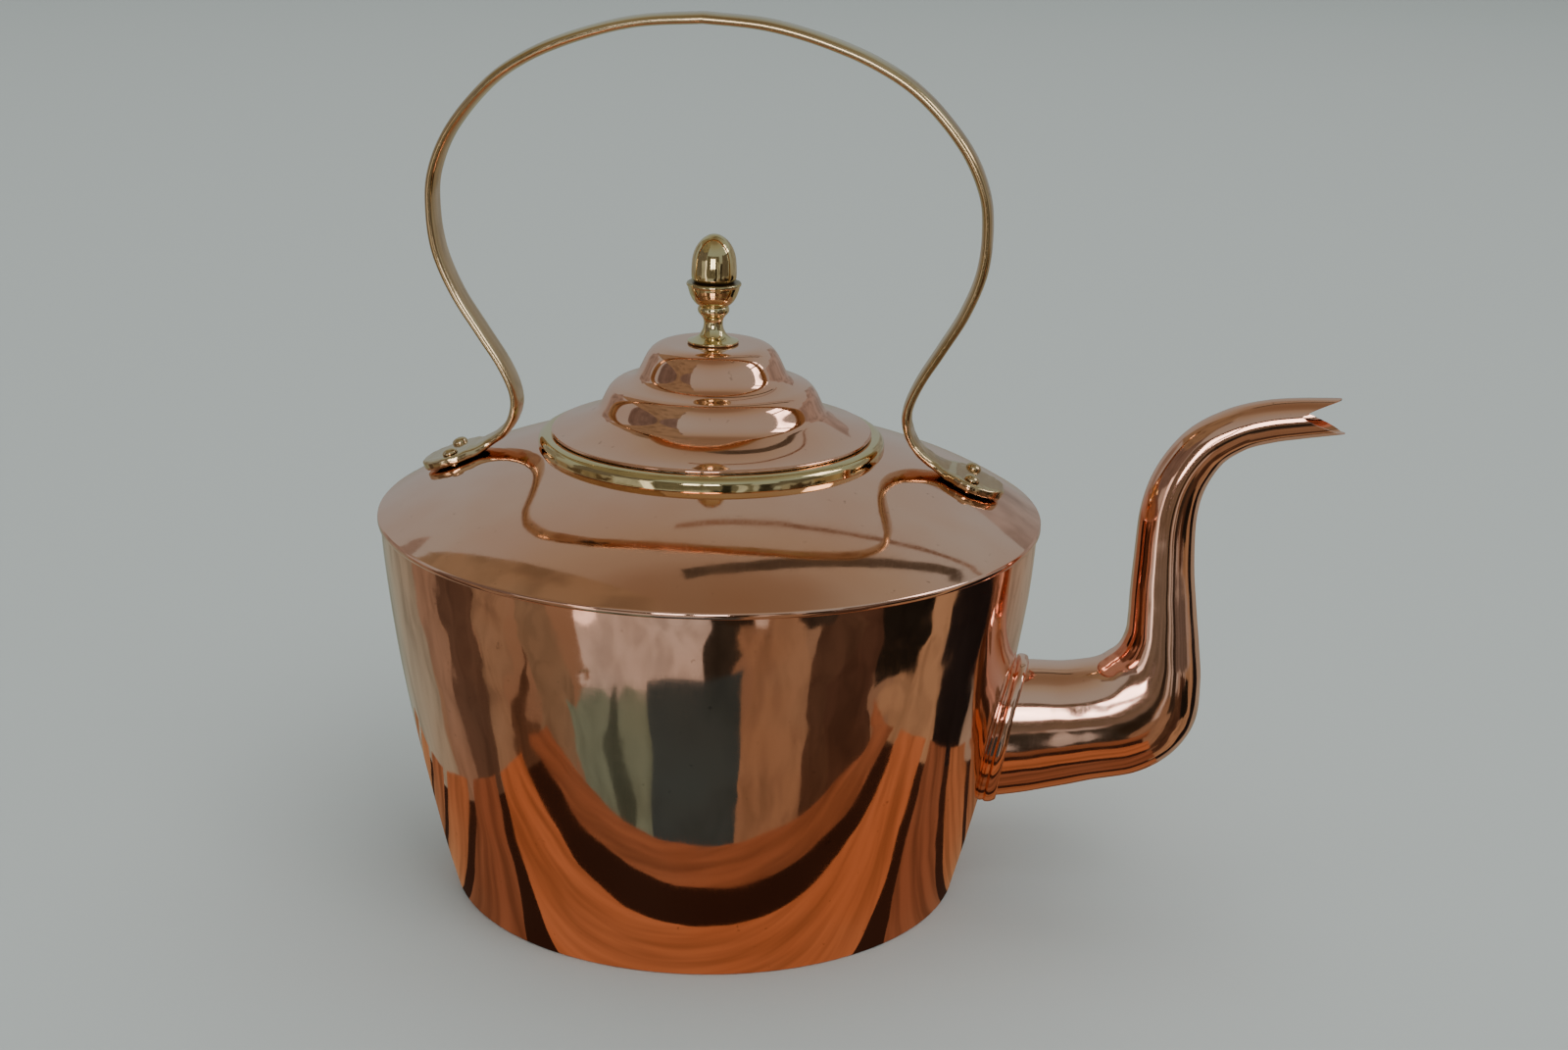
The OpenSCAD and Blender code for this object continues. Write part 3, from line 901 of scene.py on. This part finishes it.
def metal(name, light, deep, rough, brushed, planish, tarnish=()):
    """A polished metal.

    light and deep are the two tones that drift over the surface, rough the (low, high) roughness.
    brushed is the strength of the fine polishing lines and planish the depth in metres of the dints a
    hammer leaves. tarnish lists (height, half width, strength) of dark rings where two pieces meet.
    """
    mat, tree = new_material(name)
    place = shader(tree, "TexCoord").outputs["Object"]
    drift = noise_at(tree, place, 11.0, 3.0, 0.55)
    smear = noise_at(tree, place, 46.0, 4.0, 0.65)
    lines = noise_at(tree, stretched(tree, place, (90.0, 90.0, 1500.0)), 1.0, 3.0, 0.7)
    slant = stretched(tree, place, (1300.0, 110.0, 160.0), rotation=(0.35, 0.5, 0.2))
    hairs = noise_at(tree, slant, 1.0, 2.0, 0.6)
    dints = noise_at(tree, place, 62.0, 2.0, 0.45)

    colour = blend_colour(tree, ramp(tree, drift, (0.36, 0.0), (0.64, 1.0)), light, deep)
    spots = ramp(tree, noise_at(tree, place, 230.0, 2.0, 0.5), (0.70, 0.0), (0.80, 0.35))
    colour = blend_colour(tree, spots, colour, TARNISH)
    fine = calc(tree, "MULTIPLY", lines, hairs)
    low, high = rough
    base = ramp(tree, smear, (0.35, low), (0.75, high))
    roughness = calc(tree, "ADD", base, calc(tree, "MULTIPLY", fine, 0.16 * brushed))
    height = shader(tree, "SeparateXYZ", {0: place}).outputs[2]
    for level, half, strength in tarnish:
        off = calc(tree, "ABSOLUTE", calc(tree, "SUBTRACT", height, level))
        off = calc(tree, "SUBTRACT", off, calc(tree, "MULTIPLY", smear, half * 0.8))
        ring = ramp(tree, off, (0.0, strength), (half, 0.0))
        colour = blend_colour(tree, ring, colour, TARNISH)
        roughness = calc(tree, "ADD", roughness, calc(tree, "MULTIPLY", ring, 0.35))
    bump = bumped(tree, planish, dints)
    bump = bumped(tree, 0.0000022 * brushed, fine, Normal=bump)
    end_in_metal(tree, colour, roughness, bump)
    return mat


def tinned(name):
    """Wiped tin lining: dull grey, streaked, with a little copper showing through."""
    bright, dull, bare = (0.68, 0.67, 0.64, 1), (0.50, 0.49, 0.47, 1), (0.55, 0.36, 0.26, 1)
    mat, tree = new_material(name)
    place = shader(tree, "TexCoord").outputs["Object"]
    streak = noise_at(tree, stretched(tree, place, (40.0, 40.0, 150.0)), 1.0, 4.0, 0.6)
    patch = noise_at(tree, place, 28.0, 3.0, 0.6)
    colour = blend_colour(tree, ramp(tree, streak, (0.3, 0.0), (0.7, 1.0)), dull, bright)
    colour = blend_colour(tree, ramp(tree, patch, (0.62, 0.0), (0.78, 0.5)), colour, bare)
    rough = ramp(tree, streak, (0.3, 0.30), (0.7, 0.48))
    end_in_metal(tree, colour, rough, bumped(tree, 0.00012, streak))
    return mat


PINK, ORANGE, RED = (0.93, 0.53, 0.40, 1), (0.90, 0.46, 0.32, 1), (0.62, 0.30, 0.20, 1)
GOLD, AMBER = (0.80, 0.65, 0.38, 1), (0.74, 0.55, 0.28, 1)
BRONZE, BROWN = (0.73, 0.53, 0.32, 1), (0.60, 0.40, 0.215, 1)

copper = metal("copper_polished", PINK, ORANGE, (0.022, 0.055), 0.8, 0.00004)
copper_lid = metal("copper_lid", PINK, ORANGE, (0.022, 0.055), 0.7, 0.00003)
copper_spout = metal("copper_spout", PINK, ORANGE, (0.03, 0.07), 0.9, 0.00005)
copper_base = metal("copper_base", ORANGE, RED, (0.22, 0.42), 2.0, 0.00010)
brass_ring = metal("brass_ring", GOLD, AMBER, (0.03, 0.07), 0.8, 0.00002)
brass_turned = metal(
    "brass_turned", GOLD, AMBER, (0.025, 0.06), 0.8, 0.00001,
    tarnish=[(acorn_low.z + 0.0003, 0.0007, 0.85), (pedestal_low.z, 0.0006, 0.85)],
)
brass_handle = metal("brass_handle", BRONZE, BROWN, (0.05, 0.12), 1.6, 0.00004)
tin = tinned("tin_lining")


# ---------------------------------------------------------------- the kettle
def dress(obj, body, slot, nodes, *materials):
    """Gives a piece its materials and body and hides the CAD nodes it stands for. slot is not used."""
    for mat in materials:
        obj.data.materials.append(mat)
    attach(obj, body)
    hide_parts(*nodes)


wall = make_wall()
carve(wall, spout_hole_cutter())
dress(wall, "kettle", "copper", ["body_wall"], copper, tin)
dress(make_base(), "kettle", "copper", ["base_plate"], copper_base, tin)
dress(make_shoulder(), "kettle", "copper", ["shoulder"], copper, tin)
dress(make_ring(), "kettle", "brass", ["lid_ring"], brass_ring)
dress(make_spout(), "kettle", "copper", ["spout"], copper_spout, tin)
dress(make_collar(), "kettle", "copper", ["spout_collar"], copper_spout)
dress(make_handle(), "kettle", "handle_brass", ["handle"], brass_handle)
dress(make_rivets(), "kettle", "handle_brass", ["handle_rivets"], brass_handle)
dress(make_lid(), "lid", "copper", ["lid_shell"], copper_lid, tin)
dress(make_flange(), "lid", "copper", ["lid_flange"], tin)
dress(make_pedestal(), "lid", "brass", ["finial_pedestal"], brass_turned)
dress(make_acorn(), "lid", "brass", ["finial_acorn"], brass_turned)
for name, mat in (
    ("rivet_roves", copper_base), ("finial_stud", brass_turned),
    ("finial_washer", brass_turned), ("finial_nut", brass_turned),
):
    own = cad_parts[name]
    own.data.materials.clear()
    own.data.materials.append(mat)


# ---------------------------------------------------------------- stage
FLOOR_Z = -0.0002
FLOOR_HALF = 9


def plain(name, colour, rough):
    mat = bpy.data.materials.new(name)
    mat.use_nodes = True
    skin = mat.node_tree.nodes["Principled BSDF"]
    skin.inputs["Base Color"].default_value = (*colour, 1)
    skin.inputs["Roughness"].default_value = rough
    skin.inputs["Specular IOR Level"].default_value = 0.2
    return mat


def glowing(name, colour, grain=(2.0, 2.0, 2.0), depth=0.35):
    """Even light of one colour, a little darker in streaks or clouds of the given grain."""
    mat, tree = new_material(name)
    place = shader(tree, "TexCoord").outputs["Object"]
    cloud = noise_at(tree, stretched(tree, place, grain), 1.0, 3.0, 0.6)
    darker = tuple(c * (1 - depth) for c in colour)
    fac = ramp(tree, cloud, (0.35, 0.0), (0.70, 1.0))
    tone = blend_colour(tree, fac, (*colour, 1), (*darker, 1))
    end_in(tree, shader(tree, "Emission", {"Color": tone, "Strength": 1.0}))
    return mat


def panel(name, verts, faces, mat):
    """A stage panel that shows only in reflections."""
    mesh = bpy.data.meshes.new(name)
    mesh.from_pydata(verts, [], faces)
    mesh.materials.append(mat)
    obj = new_object(name, mesh)
    obj.visible_camera = False
    obj.visible_diffuse = False
    obj.visible_shadow = False
    obj.visible_transmission = False


def far_panel(name, turn, rise, colour, ragged=0.0, distance=5.0):
    """A far panel of the room between two turns from -Y towards +X and two elevations, in degrees."""
    cols, rows = 8, 26
    verts = []
    for i in range(rows + 1):
        el = rise[0] + (rise[1] - rise[0]) * i / rows
        for k in range(cols + 1):
            az = turn[0] + (turn[1] - turn[0]) * k / cols
            az += ragged * noise.noise(Vector((0.11 * el, 0.05 * az, turn[0])))
            lift = ragged * 0.6 * noise.noise(Vector((0.13 * az, turn[1], 0.0)))
            a, e = math.radians(az), math.radians(el + lift * (i in (0, rows)))
            verts.append((
                distance * math.sin(a) * math.cos(e),
                -distance * math.cos(a) * math.cos(e),
                distance * math.sin(e),
            ))
    corners = [i * (cols + 1) + k for i in range(rows) for k in range(cols)]
    faces = [(n, n + 1, n + cols + 2, n + cols + 1) for n in corners]
    panel(name, verts, faces, glowing(name + "_tone", colour))


def flat_panel(name, corners, z, mat):
    panel(name, [(x, y, z) for x, y in corners], [tuple(range(len(corners)))], mat)


def light(name, place, aim, size, power, colour):
    """A soft lamp that shades the floor and doesn't show in the metal."""
    data = bpy.data.lights.new(name, "AREA")
    data.shape = "SQUARE"
    data.size = size
    data.energy = power
    data.color = colour
    obj = new_object(name, data)
    obj.location = place
    obj.rotation_euler = (Vector(aim) - Vector(place)).to_track_quat("-Z", "Y").to_euler()
    obj.visible_camera = False
    obj.visible_glossy = False


def make_floor():
    mesh = bpy.data.meshes.new("floor")
    corners = ((-1, -1), (1, -1), (1, 1), (-1, 1))
    verts = [(x * FLOOR_HALF, y * FLOOR_HALF, FLOOR_Z) for x, y in corners]
    mesh.from_pydata(verts, [], [(0, 1, 2, 3)])
    mesh.materials.append(plain("floor_paint", (0.50, 0.525, 0.525), 0.9))
    obj = new_object("floor", mesh)
    obj.visible_glossy = False


make_floor()

# The bench under the kettle, seen only in the metal: a dark glowing sheet below, painted shade that
# shows in the gaps, and slats along X above it that glow with their lit wood tone painted in.
# SLATS holds (from y, to y, colour); the bench is turned by BENCH_TURN about Z.
BENCH_X, BENCH_Y, BENCH_Z = (-0.200, 0.235), (-0.184, 0.148), -0.016
BENCH_TURN = math.radians(8)
SLATS = [
    (-0.186, -0.158, (0.27, 0.135, 0.070)), (-0.137, -0.094, (0.42, 0.19, 0.085)),
    (-0.083, -0.042, (0.24, 0.12, 0.065)), (-0.031, 0.010, (0.36, 0.18, 0.085)),
    (0.021, 0.062, (0.30, 0.15, 0.075)), (0.073, 0.114, (0.40, 0.21, 0.10)),
    (0.125, 0.150, (0.32, 0.17, 0.085)),
]
WOOD_GRAIN, WOOD_DEPTH = (5.0, 90.0, 1.0), 0.45


def across(y0, y1):
    """Corners of a strip of the bench between two distances across it."""
    x0, x1 = BENCH_X
    c, s = math.cos(BENCH_TURN), math.sin(BENCH_TURN)
    return [(x * c - y * s, x * s + y * c) for x, y in ((x0, y0), (x1, y0), (x1, y1), (x0, y1))]


# A dark glowing sheet under the slats: painted shade seen through the gaps between them.
flat_panel("bench_painted_shade", across(*BENCH_Y), BENCH_Z, glowing("gap_painted_shade_tone", (0.038, 0.022, 0.015)))
for k, (y0, y1, tone) in enumerate(SLATS):
    wood = glowing(f"slat_tone_{k}", tone, WOOD_GRAIN, WOOD_DEPTH)
    flat_panel(f"bench_{k}", across(y0, y1), FLOOR_Z, wood)

# A dark thing that stands close in front of the bench
NEAR_Y = -0.36
panel(
    "near_card",
    [(-0.075, NEAR_Y, -0.5), (0.118, NEAR_Y, -0.5), (0.118, NEAR_Y, -0.006), (-0.06, NEAR_Y, -0.012)],
    [(0, 1, 2, 3)], glowing("near_tone", (0.045, 0.080, 0.088), (6.0, 6.0, 6.0)),
)

# The room, seen only in the metal: (turn, elevation, colour, raggedness of the edges in degrees).
# Each panel stands a little nearer than the one before it, so that it covers it.
ROOM_DISTANCE, ROOM_STEP = 5.0, 0.04
ROOM = [
    ((-180, -112), (-75, -8), (0.31, 0.35, 0.28), 8),
    ((-114, -99), (-75, -6), (0.27, 0.22, 0.16), 8),
    ((-100, -82), (-75, -8), (0.105, 0.080, 0.057), 10),
    ((-83, -66), (-75, -8), (0.26, 0.22, 0.15), 10),
    ((-67, -58), (-75, -10), (0.10, 0.07, 0.045), 12),
    ((-59, -46), (-75, -8), (0.21, 0.19, 0.13), 10),
    ((-38, 9), (-75, -10), (0.50, 0.56, 0.54), 6),
    ((-45, -14), (-75, -32.5), (0.15, 0.25, 0.20), 6),
    ((-30, -24), (-75, -35), (0.06, 0.10, 0.08), 7),
    ((8, 20), (-33, -14), (0.036, 0.040, 0.033), 10),
    ((19, 46), (-75, -10), (0.27, 0.21, 0.135), 10),
    ((44, 60), (-75, -12), (0.085, 0.060, 0.040), 12),
    ((58, 77), (-75, -10), (0.075, 0.050, 0.034), 12),
    ((76, 106), (-75, -8), (0.36, 0.28, 0.17), 9),
    ((70, 88), (-29, -12), (0.014, 0.015, 0.012), 8),
    ((105, 127), (-75, -8), (0.015, 0.015, 0.015), 9),
    ((126, 180), (-75, -8), (0.33, 0.31, 0.24), 8),
    ((-92, -32), (-8, 58), (0.175, 0.165, 0.145), 2),
    ((-136, -112), (-8, 30), (0.29, 0.29, 0.26), 6),
    ((-58, 52), (-12, 9), (0.46, 0.49, 0.46), 3),
    ((-30, 34), (-12, 26), (0.16, 0.155, 0.12), 3),
    ((-38, -30), (-23, 12), (1.7, 1.7, 1.6), 4),
    ((14, 21), (-22, 6), (0.030, 0.028, 0.020), 4),
    ((24, 29), (-22, 10), (0.55, 0.57, 0.52), 4),
    ((38, 50), (-23, 6), (0.045, 0.040, 0.030), 4),
    ((50, 86), (-8, 26), (0.14, 0.13, 0.11), 6),
    ((112, 172), (-8, 24), (0.33, 0.34, 0.32), 6),
]
for k, (turn, rise, tone, ragged) in enumerate(ROOM):
    far_panel(f"room_{k}", turn, rise, tone, ragged, distance=ROOM_DISTANCE - ROOM_STEP * k)
# Window panes: (turn, elevation, brightness)
PANE_DISTANCE = 3.8
PANES = [
    ((-10, 0), (1, 19), 8.0), ((3, 13), (1, 19), 8.0),
    ((84, 108), (27, 36), 6.0), ((84, 108), (39, 48), 6.0),
]
for k, (turn, rise, glow) in enumerate(PANES):
    far_panel(f"pane_{k}", turn, rise, (glow, glow * 1.02, glow * 1.02), distance=PANE_DISTANCE)
# Ceiling: one side a little above the beam and the edge, so that they cover it
CEILING_Z, SIDE_ABOVE = 2.2, 0.02
flat_panel(
    "ceiling_side", [(-3, 2.6), (-3, -2.2), (-1.3, -2.2), (-0.2, 0.05)], CEILING_Z + SIDE_ABOVE,
    glowing("ceiling_tone", (0.26, 0.24, 0.16)),
)
flat_panel(
    "ceiling_beam", [(-0.20, 0.50), (1.5, 1.62), (1.5, 1.85), (-0.24, 0.66)], CEILING_Z,
    glowing("beam_tone", (0.095, 0.092, 0.068)),
)
flat_panel(
    "ceiling_edge", [(-0.36, 1.36), (1.7, 2.05), (1.7, 2.14), (-0.36, 1.44)], CEILING_Z,
    glowing("edge_tone", (0.20, 0.15, 0.10)),
)


# What shows past the panels, by height from straight down (0) to straight up (1)
WORLD_TONES = [
    (0.00, (0.12, 0.08, 0.05)), (0.33, (0.27, 0.22, 0.15)), (0.50, (0.34, 0.38, 0.37)),
    (0.70, (0.355, 0.435, 0.44)), (0.78, (0.355, 0.435, 0.43)), (0.854, (0.345, 0.40, 0.38)),
    (0.91, (0.33, 0.36, 0.30)), (0.9455, (0.30, 0.31, 0.25)), (0.97, (0.24, 0.22, 0.16)),
    (1.00, (0.21, 0.18, 0.12)),
]


def make_world():
    world = bpy.data.worlds.new("studio")
    bpy.context.scene.world = world
    world.use_nodes = True
    tree = world.node_tree
    tree.nodes.clear()
    up = shader(tree, "SeparateXYZ", {0: shader(tree, "TexCoord").outputs["Generated"]}).outputs[2]
    up = shader(tree, "MapRange", {0: up, 1: -1.0, 2: 1.0, 3: 0.0, 4: 1.0}).outputs[0]
    tones = shader(tree, "ValToRGB", {0: up})
    stops = tones.color_ramp.elements
    while len(stops) < len(WORLD_TONES):
        stops.new(0.5)
    for stop, (at, colour) in zip(stops, WORLD_TONES):
        stop.position = at
        stop.color = (*colour, 1)
    back = shader(tree, "Background", {"Color": tones.outputs[0], "Strength": 1.0})
    end_in(tree, back, "OutputWorld")


make_world()
light("key", (0.9, -1.3, 1.9), aim=(0, 0, 0.1), size=1.3, power=15, colour=(1.0, 0.99, 0.97))
light("top", (0.0, 1.5, 5.0), aim=(0, 1.5, 0), size=8.0, power=235, colour=(0.99, 1.0, 1.0))
